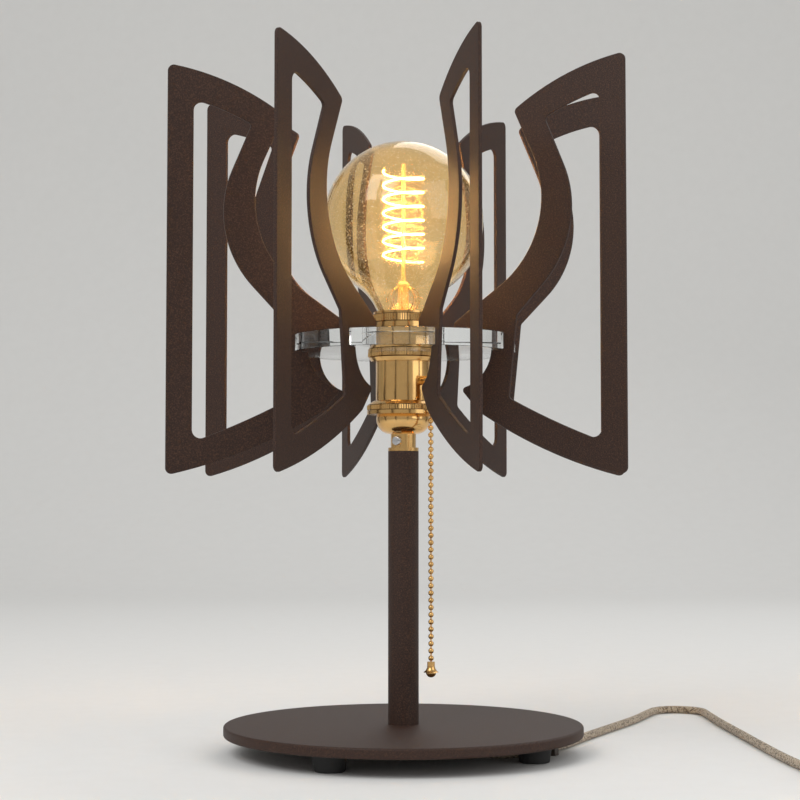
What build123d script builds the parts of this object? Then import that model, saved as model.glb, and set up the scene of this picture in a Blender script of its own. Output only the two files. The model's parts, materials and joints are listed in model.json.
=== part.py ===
"""Table lamp: eight flat fins clipped round a clear disc, a pull-chain socket, a pole and a round base.

Millimetres, +Z up. The origin is on the table under the centre of the base, and fins stand on both axes.
"""
from build123d import *
import math
import os

os.makedirs("parts", exist_ok=True)

# Fits and cuts
seat_gap = 0.05
running_gap = 0.06
slack_gap = 0.3
overrun = 2

# Base plate and feet
base_radius = 105
base_thickness = 6
base_edge_radius = 1.2
foot_height = 10.5
foot_top_radius = 10
foot_bottom_radius = 8.5
foot_edge_radius = 1
foot_circle_radius = 84
foot_count = 4
foot_start_angle = 45
foot_screw_radius = 2
foot_screw_grip = 4.5
foot_head_radius = 4
foot_head_height = 2.8
foot_head_recess = 5
recess_length_share = 1.1
recess_width_share = 0.24
recess_depth_share = 0.55

# Pole and the pipe that draws it down on the base
pole_radius = 9
pole_wall = 1.5
pole_length = 161.5
pole_plug_flange = 2
pole_plug_depth = 8
pole_bush_height = 10
pipe_radius = 5
pipe_wall = 1.5
pipe_overhang = 1
pipe_cap_reach = 9
washer_radius = 13
washer_thickness = 1.5
nut_across_flats = 14
nut_height = 4

# Socket cap, a neck that flares into a dome
cap_neck_radius = 7.4
cap_neck_height = 8
cap_rim_radius = 15.6
cap_dome_height = 11.5
cap_dome_bulge = 3.4
cap_wall = 1
set_screw_angle = -134.5
set_screw_radius = 1.5
set_screw_head_radius = 2.8
set_screw_head_height = 2.2
set_screw_head_edge = 0.9

# Grooved ring over the joint of cap and shell
collar_width = 5.2
collar_height = 8
collar_floor = 1.5
collar_floor_bore = 10
collar_groove_depth = 1
collar_groove_width = 0.5
collar_bead_height = 2.2
collar_slope_height = 2.2
collar_slope_foot = 0.6
collar_slope_width = 3.6

# Shell and the pieces inside it
shell_radius = 16.3
shell_wall = 0.8
shell_length = 57
liner_wall = 0.7
liner_gap = 0.15
liner_top_setback = 4
switch_gap = 0.2
screw_shell_radius = 13.6
screw_shell_wall = 0.45
screw_shell_floor = 0.6
screw_shell_bore = 6
screw_shell_length = 27
screw_shell_setback = 3
contact_radius = 3
contact_height = 2
terminal_screw_radius = 2
terminal_screw_length = 4
terminal_screw_height = 8
terminal_angles = (60, 150)

# Pull switch
pull_angle = -64.5
pull_radius = 23.8
mouth_gap = 1
mouth_length_share = 0.603
mouth_stub_radius = 2.7
mouth_stub_bore = 1.8
mouth_radius = 2.9
mouth_flare_radius = 3.8
mouth_bore = 2.1
mouth_above_stub = 3.5
lever_thickness = 2
lever_length = 9
lever_eye_radius = 2.4
lever_end_radius = 1.4
lever_pin_radius = 1.2
lever_pin_length = 13
lever_pin_offset = 3.5
lever_rise_angle = 14
lever_pocket_width = 9
lever_pocket_margin = 1
spring_wire_radius = 0.3
spring_coil_radius = 1.9
spring_turns = 3
spring_pitch = 0.7

# Ball chain
bead_radius = 1.6
bead_pitch = 4.15
chain_rod_radius = 0.45
chain_rod_gap = 0.6
chain_hang_drop = 2.9
chain_bead_count = 36
chain_end_radius = 4.5
chain_end_height = 9
chain_end_neck_radius = 2.2
chain_end_ball_radius = 3

# Clear disc and the rings that clamp it
disc_radius = 66
disc_thickness = 10
disc_bore_gap = 0.15
slit_depth = 4.5
slit_gap = 0.15
lower_ring_width = 4.7
lower_ring_height = 5
lower_ring_groove = 0.6
lower_ring_taper = 2
upper_ring_flange_width = 3.2
upper_ring_flange_height = 2
upper_ring_waist_width = 0.6
upper_ring_waist_height = 3
upper_ring_bead_width = 0.95
upper_ring_bead_height = 3
upper_ring_groove_height = 0.5
upper_ring_band_width = 2.2
upper_ring_band_height = 4
upper_ring_lip_width = 1.4
upper_ring_lip_height = 1.3
upper_ring_overhang = 2

# Fins
fin_count = 8
fin_thickness = 2
fin_reach = 141
fin_rise = 154
fin_drop = 72.5
post_width = 15
lobe_length = 27.5
lobe_height = 6.5
nose_length = 23.5
jaw_length = 3.5
root_upper_width = 12.5
root_lower_width = 7.5
fin_outer_corner = 3.5
fin_tip_corner = 3
fin_root_corner = 2
window_post_corner = 5
window_inner_corner = 2.5
top_middle_shares = (0.585, 0.95)
tip_shares = (0.14, 0.83)
s_start_shares = (0.29, 0.656)
s_end_shares = (0.016, 0.171)
nose_drop_share = 0.3
jaw_middle_shares = (0.34, 0.17)
belly_start_shares = (0.145, 0.49)
belly_middle_shares = (0.45, 0.817)
window_top_shares = (0.81, 0.87)
window_top_middle_shares = (0.6, 0.838)
window_tip_shares = (0.383, 0.789)
window_s_start_shares = (0.528, 0.61)
window_s_end_shares = (0.371, 0.175)
window_root_share = 0.06
window_low_share = 0.386
window_belly_middle_shares = (0.45, 0.577)
window_post_share = 0.737

# Bulb
globe_radius = 47.5
globe_rise = 55.3
glass_wall = 0.8
globe_end_angle = 55
neck_radius = 15
neck_rise = 3.8
glass_root_radius = 12.3
glass_root_height = 19
glass_root_length = 6.2
bulb_cap_radius = 12.95
bulb_cap_wall = 0.5
bulb_cap_lip = 1.2
tip_contact_radius = 3.5
tip_contact_height = 1.2
insulator_radius = 9
insulator_height = 2.4
cap_cone_height = 2.6
stem_flare_radius = 11.2
stem_flare_height = 9
stem_radius = 3
stem_bead_radius = 3.4
stem_gap = 15
post_rod_radius = 1.1
filament_radius = 12
filament_wire_radius = 0.6
filament_turns = 6.5
filament_rise_share = 1.14
filament_sink_share = 0.44
support_wire_radius = 0.3
support_count = 8
crown_count = 8
crown_radius = 9.5
crown_height = 15

# Cord, clip, coil and plug
cord_radius = 2.5
floor_gap = 0.05
view_turn = -16.5
clip_length = 5
clip_width = 11
clip_strap = 1
clip_screw_radius = 1.5
clip_screw_head_radius = 2.8
clip_screw_head_height = 1.6
clip_tab_length = 10
clip_tab_thickness = 2
wire_radius = 0.9
wire_spacing = 2.1
wire_bend_radius = 4
cord_first_run = 16
coil_outer_radius = 40
coil_turn_pitch = 6.6
coil_layer_pitch = 5.6
coil_half_turns = 6
coil_tail_length = 36
tie_thickness = 1
tie_width = 9
tie_gap = 0.3
tie_angle = 60
plug_width = 24
plug_length = 26
plug_rear_width = 15
plug_rear_height = 13
plug_edge_radius = 3
relief_length = 14
relief_tip_radius = 3.4
relief_root_radius = 5
blade_thickness = 1.5
blade_width = 6.3
blade_length = 17
blade_spacing = 12.7

# Levels from the table up
base_bottom = foot_height
base_top = base_bottom + base_thickness
pole_top = base_top + pole_length
cap_neck_top = pole_top + cap_neck_height
cap_top = cap_neck_top + cap_dome_height
collar_top = cap_top + collar_height
shell_bottom = cap_top + collar_floor
shell_top = shell_bottom + shell_length
switch_height = shell_length - screw_shell_length - screw_shell_setback
switch_top = shell_bottom + switch_height
upper_ring_top = shell_top + upper_ring_overhang
lip_bottom = upper_ring_top - upper_ring_lip_height
band_upper = lip_bottom - upper_ring_groove_height
band_lower = band_upper - upper_ring_band_height
bead_upper = band_lower - upper_ring_groove_height
bead_lower = bead_upper - upper_ring_bead_height
flange_top = bead_lower - upper_ring_waist_height
disc_top = flange_top - upper_ring_flange_height
disc_bottom = disc_top - disc_thickness
lower_ring_bottom = disc_bottom - lower_ring_height
mouth_bottom = collar_top + mouth_gap
mouth_top = mouth_bottom + mouth_length_share * (lower_ring_bottom - collar_top)
stub_height = mouth_top - mouth_above_stub
pipe_bottom = base_bottom - washer_thickness - nut_height - pipe_overhang
pipe_top = pole_top + pipe_cap_reach
contact_top = switch_top + contact_height

# Radii that follow from the sizes above
pole_bore = pole_radius - pole_wall
pipe_bore = pipe_radius - pipe_wall
shell_bore = shell_radius - shell_wall
liner_radius = shell_bore - liner_gap
liner_bore = liner_radius - liner_wall
switch_radius = liner_bore - switch_gap
ring_bore = shell_radius + seat_gap
notch_end = disc_radius - slit_depth
fin_span = fin_reach - notch_end


def save(builder, name):
    """Label a finished piece and write it."""
    builder.part.label = name
    export_step(builder.part, f"parts/{name}.step")


def polar(radius, angle, height):
    """A point from its radius, its angle in degrees and its height."""
    turn = math.radians(angle)
    return Vector(radius * math.cos(turn), radius * math.sin(turn), height)


def radial_plane(angle):
    """The upright plane through the axis at an angle, with its x outwards and its y up."""
    turn = math.radians(angle)
    outwards = (math.cos(turn), math.sin(turn), 0)
    across = (math.sin(turn), -math.cos(turn), 0)
    return Plane(origin=(0, 0, 0), x_dir=outwards, z_dir=across)


def corner_at(builder, point):
    """The corner of a sketch that lies nearest to a point."""
    return builder.vertices().sort_by_distance((point[0], point[1], 0))[0]


def revolve_profile(points):
    """A solid turned round the Z axis from a closed profile of radius and height."""
    with BuildPart() as turned:
        with BuildSketch(Plane.XZ):
            with BuildLine():
                Polyline(*points, close=True)
            make_face()
        revolve(axis=Axis.Z)
    return turned


def tube_along(path, radius):
    """A round tube swept along a line of runs and arcs."""
    with BuildPart() as tube:
        with BuildSketch(Plane(origin=path @ 0, z_dir=path % 0)):
            Circle(radius)
        sweep(path=path)
    return tube


def biarc_path(points, tangents):
    """Tangent arcs through the points, two for each span."""
    with BuildLine() as line:
        for start, end, leave, arrive in zip(points, points[1:], tangents, tangents[1:]):
            span = end - start
            along = span.dot(leave + arrive)
            spread = 2 * (1 - leave.dot(arrive))
            reach = (math.sqrt(along**2 + spread * span.dot(span)) - along) / spread
            first_control = start + leave * reach
            last_control = end - arrive * reach
            middle = (first_control + last_control) * 0.5
            TangentArc(start, middle, tangent=leave)
            TangentArc(middle, end, tangent=last_control - first_control)
    return line.wire()


def rounded_radii(points, bend_share=0.45):
    """The largest radius that each corner of a route leaves room for."""
    radii = []
    for before, corner, after in zip(points, points[1:], points[2:]):
        arriving = corner - before
        leaving = after - corner
        half_turn = math.radians(arriving.get_angle(leaving)) / 2
        radii.append(bend_share * min(arriving.length, leaving.length) / math.tan(half_turn))
    return radii


def cut_cross(head_radius, head_height):
    """Cut a cross recess into a screw head that faces down, at the places in force."""
    for turn in (0, 90):
        Box(head_radius * recess_length_share, head_radius * recess_width_share,
            head_height * recess_depth_share, rotation=(0, 0, turn),
            align=(Align.CENTER, Align.CENTER, Align.MIN), mode=Mode.SUBTRACT)


def view_point(x, y, z):
    """A point of the cord's route, given square to the lamp's front view."""
    return Vector(x, y, z).rotate(Axis.Z, view_turn)


# Base plate with its pipe hole and the blind holes of the feet and the clip
clip_start = view_point(80.2, -17, 0)
clip_end = view_point(85, -9, 0)
clip_along = (clip_end - clip_start).normalized()
clip_middle = clip_end - clip_along * (clip_length / 2)
clip_across = Vector(0, 0, 1).cross(clip_along)
clip_screw_place = clip_middle + clip_across * (clip_width / 2 + clip_tab_length / 2)
cord_clip_height = floor_gap + clip_strap + cord_radius + seat_gap

with BuildPart() as base_disc:
    with Locations((0, 0, base_bottom)):
        Cylinder(base_radius, base_thickness, align=(Align.CENTER, Align.CENTER, Align.MIN))
    rims = base_disc.edges().filter_by(GeomType.CIRCLE)
    fillet(rims, base_edge_radius)
    with Locations((0, 0, base_top)):
        Hole(pipe_radius + seat_gap, depth=base_thickness)
    with Locations((0, 0, base_bottom)):
        with PolarLocations(foot_circle_radius, foot_count, start_angle=foot_start_angle):
            Cylinder(foot_screw_radius + seat_gap, foot_screw_grip + seat_gap,
                     align=(Align.CENTER, Align.CENTER, Align.MIN), mode=Mode.SUBTRACT)
    with Locations((clip_screw_place.X, clip_screw_place.Y, base_bottom)):
        Cylinder(clip_screw_radius + seat_gap, foot_screw_grip + seat_gap,
                 align=(Align.CENTER, Align.CENTER, Align.MIN), mode=Mode.SUBTRACT)
save(base_disc, "base_disc")

# Rubber feet, tapered, with a recess for the screw's head
with BuildPart() as rubber_feet:
    with PolarLocations(foot_circle_radius, foot_count, start_angle=foot_start_angle):
        Cone(foot_bottom_radius, foot_top_radius, foot_height,
             align=(Align.CENTER, Align.CENTER, Align.MIN))
    fillet(rubber_feet.edges().group_by(Axis.Z)[0], foot_edge_radius)
    with PolarLocations(foot_circle_radius, foot_count, start_angle=foot_start_angle):
        Cylinder(foot_screw_radius + seat_gap, foot_height,
                 align=(Align.CENTER, Align.CENTER, Align.MIN), mode=Mode.SUBTRACT)
        Cylinder(foot_head_radius + slack_gap, foot_head_recess,
                 align=(Align.CENTER, Align.CENTER, Align.MIN), mode=Mode.SUBTRACT)
save(rubber_feet, "rubber_feet")

with BuildPart() as foot_screws:
    with PolarLocations(foot_circle_radius, foot_count, start_angle=foot_start_angle):
        with Locations((0, 0, foot_head_recess)):
            Cylinder(foot_head_radius, foot_head_height,
                     align=(Align.CENTER, Align.CENTER, Align.MAX))
            Cylinder(foot_screw_radius, base_bottom + foot_screw_grip - foot_head_recess,
                     align=(Align.CENTER, Align.CENTER, Align.MIN))
        with Locations((0, 0, foot_head_recess - foot_head_height)):
            cut_cross(foot_head_radius, foot_head_height)
save(foot_screws, "foot_screws")

# Washer and nut under the base
with BuildPart() as base_washer:
    with BuildSketch(Plane.XY.offset(base_bottom)):
        Circle(washer_radius)
        Circle(pipe_radius + seat_gap, mode=Mode.SUBTRACT)
    extrude(amount=-washer_thickness)
save(base_washer, "base_washer")

with BuildPart() as base_nut:
    with BuildSketch(Plane.XY.offset(base_bottom - washer_thickness)):
        RegularPolygon(nut_across_flats / 2, 6, major_radius=False)
        Circle(pipe_radius + seat_gap, mode=Mode.SUBTRACT)
    extrude(amount=-nut_height)
save(base_nut, "base_nut")

# Hollow threaded pipe from the nut to the cap
with BuildPart() as threaded_pipe:
    with BuildSketch(Plane.XY.offset(pipe_bottom)):
        Circle(pipe_radius)
        Circle(pipe_bore, mode=Mode.SUBTRACT)
    extrude(amount=pipe_top - pipe_bottom)
save(threaded_pipe, "threaded_pipe")

# Pole tube, centred on the pipe by a bush below and a flanged plug above
with BuildPart() as pole_tube:
    with BuildSketch(Plane.XY.offset(base_top)):
        Circle(pole_radius)
        Circle(pole_bore, mode=Mode.SUBTRACT)
    extrude(amount=pole_length - pole_plug_flange)
save(pole_tube, "pole_tube")

with BuildPart() as pole_bush:
    with BuildSketch(Plane.XY.offset(base_top)):
        Circle(pole_bore - seat_gap)
        Circle(pipe_radius + seat_gap, mode=Mode.SUBTRACT)
    extrude(amount=pole_bush_height)
save(pole_bush, "pole_bush")

with BuildPart() as pole_plug:
    with BuildSketch(Plane.XY.offset(pole_top)):
        Circle(pole_radius)
    extrude(amount=-pole_plug_flange)
    with BuildSketch(Plane.XY.offset(pole_top - pole_plug_flange)):
        Circle(pole_bore - seat_gap)
    extrude(amount=-pole_plug_depth)
    with Locations((0, 0, pole_top)):
        Hole(pipe_radius + seat_gap)
save(pole_plug, "pole_plug")

# Socket cap: the neck takes the pipe, and the dome opens upwards under the collar
cap_middle = (cap_neck_radius + cap_dome_bulge * 2, cap_neck_top + cap_dome_bulge)
with BuildPart() as socket_cap:
    with BuildSketch(Plane.XZ):
        with BuildLine():
            Polyline((0, pole_top), (cap_neck_radius, pole_top), (cap_neck_radius, cap_neck_top))
            ThreePointArc((cap_neck_radius, cap_neck_top), cap_middle, (cap_rim_radius, cap_top))
            Polyline((cap_rim_radius, cap_top), (0, cap_top), (0, pole_top))
        make_face()
    revolve(axis=Axis.Z)
    with BuildSketch(Plane.XZ):
        with BuildLine():
            dome_floor = cap_neck_top + cap_wall
            Line((0, dome_floor), (cap_neck_radius, dome_floor))
            ThreePointArc((cap_neck_radius, dome_floor),
                          (cap_middle[0] - cap_wall / 2, cap_middle[1] + cap_wall),
                          (cap_rim_radius - cap_wall, cap_top))
            Polyline((cap_rim_radius - cap_wall, cap_top), (0, cap_top), (0, dome_floor))
        make_face()
    revolve(axis=Axis.Z, mode=Mode.SUBTRACT)
    with Locations((0, 0, cap_top)):
        Hole(pipe_radius + seat_gap)
    with BuildSketch(Plane(origin=(0, 0, pole_top + cap_neck_height / 2),
                           z_dir=polar(1, set_screw_angle, 0))):
        Circle(set_screw_radius + seat_gap)
    extrude(amount=cap_neck_radius + overrun, mode=Mode.SUBTRACT)
save(socket_cap, "socket_cap")

with BuildPart() as cap_set_screw:
    screw_plane = Plane(origin=(0, 0, pole_top + cap_neck_height / 2), z_dir=polar(1, set_screw_angle, 0))
    with BuildSketch(screw_plane.offset(pipe_radius + seat_gap)):
        Circle(set_screw_radius)
    extrude(amount=cap_neck_radius - pipe_radius)
    with BuildSketch(screw_plane.offset(cap_neck_radius)):
        Circle(set_screw_head_radius)
    extrude(amount=set_screw_head_height)
    screw_axis = Axis(screw_plane.origin, screw_plane.z_dir)
    head_rim = cap_set_screw.edges().filter_by(GeomType.CIRCLE).sort_by(screw_axis)[-1]
    fillet(head_rim, set_screw_head_edge)
    with BuildSketch(screw_plane.offset(cap_neck_radius + set_screw_head_height)):
        Rectangle(set_screw_head_radius * 2, set_screw_head_radius * recess_width_share)
    extrude(amount=-set_screw_head_height * recess_depth_share, mode=Mode.SUBTRACT)
save(cap_set_screw, "cap_set_screw")

# Grooved collar round the foot of the shell, with a floor that carries the switch
collar_radius = shell_radius + collar_width
groove_radius = collar_radius - collar_groove_depth
bead_top = cap_top + collar_bead_height
band_bottom = bead_top + collar_groove_width
slope_bottom = collar_top - collar_slope_height
band_top = slope_bottom - collar_groove_width
slope_radius = collar_radius - collar_slope_foot
slope_top_radius = collar_radius - collar_slope_width
collar = revolve_profile([
    (collar_floor_bore, cap_top), (collar_radius, cap_top), (collar_radius, bead_top),
    (groove_radius, bead_top), (groove_radius, band_bottom), (collar_radius, band_bottom),
    (collar_radius, band_top), (groove_radius, band_top), (groove_radius, slope_bottom),
    (slope_radius, slope_bottom), (slope_top_radius, collar_top), (ring_bore, collar_top),
    (ring_bore, shell_bottom), (collar_floor_bore, shell_bottom),
])
save(collar, "collar")

# Brass shell with the hole of the pull switch
stub_plane = Plane(origin=(0, 0, stub_height), z_dir=polar(1, pull_angle, 0))
with BuildPart() as socket_shell:
    with BuildSketch(Plane.XY.offset(shell_bottom)):
        Circle(shell_radius)
        Circle(shell_bore, mode=Mode.SUBTRACT)
    extrude(amount=shell_length)
    with BuildSketch(stub_plane):
        Circle(mouth_stub_radius + seat_gap)
    extrude(amount=shell_radius + overrun, mode=Mode.SUBTRACT)
save(socket_shell, "socket_shell")

with BuildPart() as insulating_liner:
    with BuildSketch(Plane.XY.offset(shell_bottom)):
        Circle(liner_radius)
        Circle(liner_bore, mode=Mode.SUBTRACT)
    extrude(amount=shell_length - liner_top_setback)
    with BuildSketch(stub_plane):
        Circle(mouth_stub_radius + seat_gap)
    extrude(amount=shell_radius + overrun, mode=Mode.SUBTRACT)
save(insulating_liner, "insulating_liner")

# Switch body with a pocket for the pull lever and blind holes for its pin and the terminal screws
pull_plane = radial_plane(pull_angle)
pin_height = shell_bottom + switch_height / 2
pin_place = (lever_pin_offset, pin_height)
pocket_reach = lever_length + lever_end_radius + lever_pocket_margin
with BuildPart() as switch_body:
    with BuildSketch(Plane.XY.offset(shell_bottom)):
        Circle(switch_radius)
    extrude(amount=switch_height)
    with BuildSketch(pull_plane):
        with Locations(pin_place):
            Circle(pocket_reach)
    extrude(amount=lever_pocket_width / 2, both=True, mode=Mode.SUBTRACT)
    with BuildSketch(pull_plane):
        with Locations(pin_place):
            Circle(lever_pin_radius + seat_gap)
    extrude(amount=lever_pin_length / 2 + seat_gap, both=True, mode=Mode.SUBTRACT)
    for angle in terminal_angles:
        screw_level = shell_bottom + terminal_screw_height
        with BuildSketch(Plane(origin=polar(switch_radius - terminal_screw_length, angle, screw_level),
                               z_dir=polar(1, angle, 0))):
            Circle(terminal_screw_radius + seat_gap)
        extrude(amount=terminal_screw_length + overrun, mode=Mode.SUBTRACT)
save(switch_body, "switch_body")

with BuildPart() as terminal_screws:
    for angle in terminal_angles:
        screw_level = shell_bottom + terminal_screw_height
        with BuildSketch(Plane(origin=polar(switch_radius - terminal_screw_length, angle, screw_level),
                               z_dir=polar(1, angle, 0))):
            Circle(terminal_screw_radius)
        extrude(amount=terminal_screw_length)
save(terminal_screws, "terminal_screws")

with BuildPart() as lever_pin:
    with BuildSketch(pull_plane):
        with Locations(pin_place):
            Circle(lever_pin_radius)
    extrude(amount=lever_pin_length / 2, both=True)
save(lever_pin, "lever_pin")

# Pull lever, raised at rest
lever_turn = math.radians(lever_rise_angle)
lever_end = (lever_pin_offset + lever_length * math.cos(lever_turn),
             pin_height + lever_length * math.sin(lever_turn))
with BuildPart() as pull_lever:
    with BuildSketch(pull_plane):
        with BuildLine():
            spine = Line(pin_place, lever_end)
        with Locations(spine @ 0.5):
            SlotOverall(lever_length + lever_end_radius * 2, lever_end_radius * 2, rotation=lever_rise_angle)
        with Locations(pin_place):
            Circle(lever_eye_radius)
            Circle(lever_pin_radius + running_gap, mode=Mode.SUBTRACT)
    extrude(amount=lever_thickness / 2, both=True)
save(pull_lever, "pull_lever")

# Return spring wound on the pin beside the lever
spring_origin = pull_plane.from_local_coords((*pin_place, lever_thickness / 2 + spring_pitch))
spring_points = []
spring_tangents = []
for quarter in range(spring_turns * 4 + 1):
    turn = quarter * math.pi / 2
    offset = (pull_plane.x_dir * math.cos(turn) + pull_plane.y_dir * math.sin(turn)) * spring_coil_radius
    advance = pull_plane.z_dir * (spring_pitch * quarter / 4)
    heading = (pull_plane.y_dir * math.cos(turn) - pull_plane.x_dir * math.sin(turn)) * spring_coil_radius
    climb = pull_plane.z_dir * (spring_pitch / (2 * math.pi))
    spring_points.append(spring_origin + offset + advance)
    spring_tangents.append((heading + climb).normalized())
lever_spring = tube_along(biarc_path(spring_points, spring_tangents), spring_wire_radius)
save(lever_spring, "lever_spring")

# Screw shell and centre contact for the bulb
screw_shell_bore_radius = screw_shell_radius - screw_shell_wall
screw_shell = revolve_profile([
    (screw_shell_bore, switch_top), (screw_shell_radius, switch_top),
    (screw_shell_radius, switch_top + screw_shell_length),
    (screw_shell_bore_radius, switch_top + screw_shell_length),
    (screw_shell_bore_radius, switch_top + screw_shell_floor),
    (screw_shell_bore, switch_top + screw_shell_floor),
])
save(screw_shell, "screw_shell")

with BuildPart() as center_contact:
    with Locations((0, 0, switch_top)):
        Cylinder(contact_radius, contact_height, align=(Align.CENTER, Align.CENTER, Align.MIN))
    fillet(center_contact.edges().group_by(Axis.Z)[-1], contact_height / 2)
save(center_contact, "center_contact")

# Mouth of the pull switch: a stub out of the shell that ends in a bell pointing down
chain_axis = polar(pull_radius, pull_angle, 0)
mouth_bore_top = mouth_top - mouth_radius / 2
flare_top = mouth_bottom + mouth_radius
dome_foot = mouth_top - mouth_radius
bell_plane = Plane(origin=chain_axis, x_dir=polar(1, pull_angle, 0), z_dir=pull_plane.z_dir)
bell_axis = Axis(chain_axis, (0, 0, 1))
with BuildPart() as bell_mouth:
    with BuildSketch(stub_plane.offset(liner_bore)):
        Circle(mouth_stub_radius)
    extrude(amount=pull_radius - liner_bore)
    with BuildSketch(bell_plane):
        with BuildLine():
            Polyline((0, mouth_bottom), (mouth_flare_radius, mouth_bottom))
            TangentArc((mouth_radius, flare_top), (mouth_flare_radius, mouth_bottom), tangent=(0, -1))
            Line((mouth_radius, flare_top), (mouth_radius, dome_foot))
            TangentArc((mouth_radius, dome_foot), (0, mouth_top), tangent=(0, 1))
            Line((0, mouth_top), (0, mouth_bottom))
        make_face()
    revolve(axis=bell_axis)
    with BuildSketch(Plane.XY.offset(mouth_bottom)):
        with Locations((chain_axis.X, chain_axis.Y)):
            Circle(mouth_bore)
    extrude(amount=mouth_bore_top - mouth_bottom, mode=Mode.SUBTRACT)
    with BuildSketch(stub_plane):
        Circle(mouth_stub_bore)
    extrude(amount=pull_radius, mode=Mode.SUBTRACT)
save(bell_mouth, "bell_mouth")


def bead_string(first_height, count, rod_above, rod_below):
    """Hollow-looking ball chain as one turned solid: beads on a thin rod, downwards from the first bead."""
    bite = math.sqrt(bead_radius**2 - chain_rod_radius**2)
    with BuildPart() as chain:
        with BuildSketch(bell_plane):
            with BuildLine():
                top = (chain_rod_radius, first_height + rod_above)
                last = top
                for index in range(count):
                    height = first_height - index * bead_pitch
                    upper = (chain_rod_radius, height + bite)
                    lower = (chain_rod_radius, height - bite)
                    Line(last, upper)
                    ThreePointArc(upper, (bead_radius, height), lower)
                    last = lower
                bottom = (chain_rod_radius, first_height - (count - 1) * bead_pitch - rod_below)
                Polyline(last, bottom, (0, bottom[1]), (0, top[1]), top)
            make_face()
        revolve(axis=bell_axis)
    return chain


# Ball chain: the lead stays in the mouth, and the rest hangs from its end
hang_height = mouth_bottom - chain_hang_drop
lead_room = mouth_bore_top - hang_height - bead_pitch / 2 - bead_radius
lead_bead_count = int(lead_room / bead_pitch) + 1
lead_top = hang_height + bead_pitch / 2 + (lead_bead_count - 1) * bead_pitch
lead_end = bead_pitch / 2 - chain_rod_gap / 2
chain_lead = bead_string(lead_top, lead_bead_count, bead_radius, lead_end)
save(chain_lead, "chain_lead")

chain_top = hang_height - bead_pitch / 2
pull_chain = bead_string(chain_top, chain_bead_count, lead_end, bead_pitch / 2)
save(pull_chain, "pull_chain")

# Bell with a ball in its skirt at the end of the chain
end_top = chain_top - (chain_bead_count - 1) * bead_pitch - bead_pitch / 2
end_bottom = end_top - chain_end_height
ball_height = end_bottom + chain_end_ball_radius
with BuildPart() as chain_end:
    with BuildSketch(bell_plane):
        with BuildLine():
            Line((0, end_top), (chain_end_neck_radius, end_top))
            neck = Line((chain_end_neck_radius, end_top),
                        (chain_end_neck_radius, end_top - chain_end_neck_radius))
            TangentArc(neck @ 1, (chain_end_radius, ball_height), tangent=neck % 1)
            Polyline((chain_end_radius, ball_height), (chain_end_ball_radius, ball_height))
            TangentArc((chain_end_ball_radius, ball_height), (0, end_bottom), tangent=(0, -1))
            Line((0, end_bottom), (0, end_top))
        make_face()
    revolve(axis=bell_axis)
save(chain_end, "chain_end")

# Rings screwed on the shell, one under the disc and one over it
lower_ring_radius = shell_radius + lower_ring_width
ring_middle = lower_ring_bottom + lower_ring_height / 2
groove_half = lower_ring_groove / 2
lower_shade_ring = revolve_profile([
    (ring_bore, lower_ring_bottom), (lower_ring_radius - lower_ring_taper, lower_ring_bottom),
    (lower_ring_radius - lower_ring_groove, ring_middle - groove_half),
    (lower_ring_radius - lower_ring_groove * 2, ring_middle),
    (lower_ring_radius, ring_middle + groove_half), (lower_ring_radius, disc_bottom),
    (ring_bore, disc_bottom),
])
save(lower_shade_ring, "lower_shade_ring")

waist = shell_radius + upper_ring_waist_width
flange_rim = shell_radius + upper_ring_flange_width
bead_rim = shell_radius + upper_ring_bead_width
band_rim = shell_radius + upper_ring_band_width
lip_rim = shell_radius + upper_ring_lip_width
upper_shade_ring = revolve_profile([
    (ring_bore, disc_top), (flange_rim, disc_top), (flange_rim, flange_top), (waist, flange_top),
    (waist, bead_lower), (bead_rim, bead_lower), (bead_rim, bead_upper), (waist, bead_upper),
    (waist, band_lower), (band_rim, band_lower), (band_rim, band_upper), (waist, band_upper),
    (waist, lip_bottom), (lip_rim, lip_bottom), (lip_rim, upper_ring_top), (ring_bore, upper_ring_top),
])
save(upper_shade_ring, "upper_shade_ring")

# Clear disc with a slit at each fin
with BuildPart() as clear_disc:
    with BuildSketch(Plane.XY.offset(disc_bottom)):
        Circle(disc_radius)
        Circle(shell_radius + disc_bore_gap, mode=Mode.SUBTRACT)
    extrude(amount=disc_thickness)
    with BuildSketch(Plane.XY.offset(disc_bottom)):
        with PolarLocations(notch_end - seat_gap, fin_count):
            Rectangle(slit_depth + overrun, fin_thickness + slit_gap * 2, align=(Align.MIN, Align.CENTER))
    extrude(amount=disc_thickness, mode=Mode.SUBTRACT)
save(clear_disc, "clear_disc")


def above(shares):
    """A point of a fin over the disc, from its shares of the fin's span and rise."""
    return (notch_end + shares[0] * fin_span, disc_top + shares[1] * fin_rise)


def below(shares):
    """A point of a fin under the disc, from its shares of the fin's span and drop."""
    return (notch_end + shares[0] * fin_span, disc_bottom - shares[1] * fin_drop)


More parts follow.
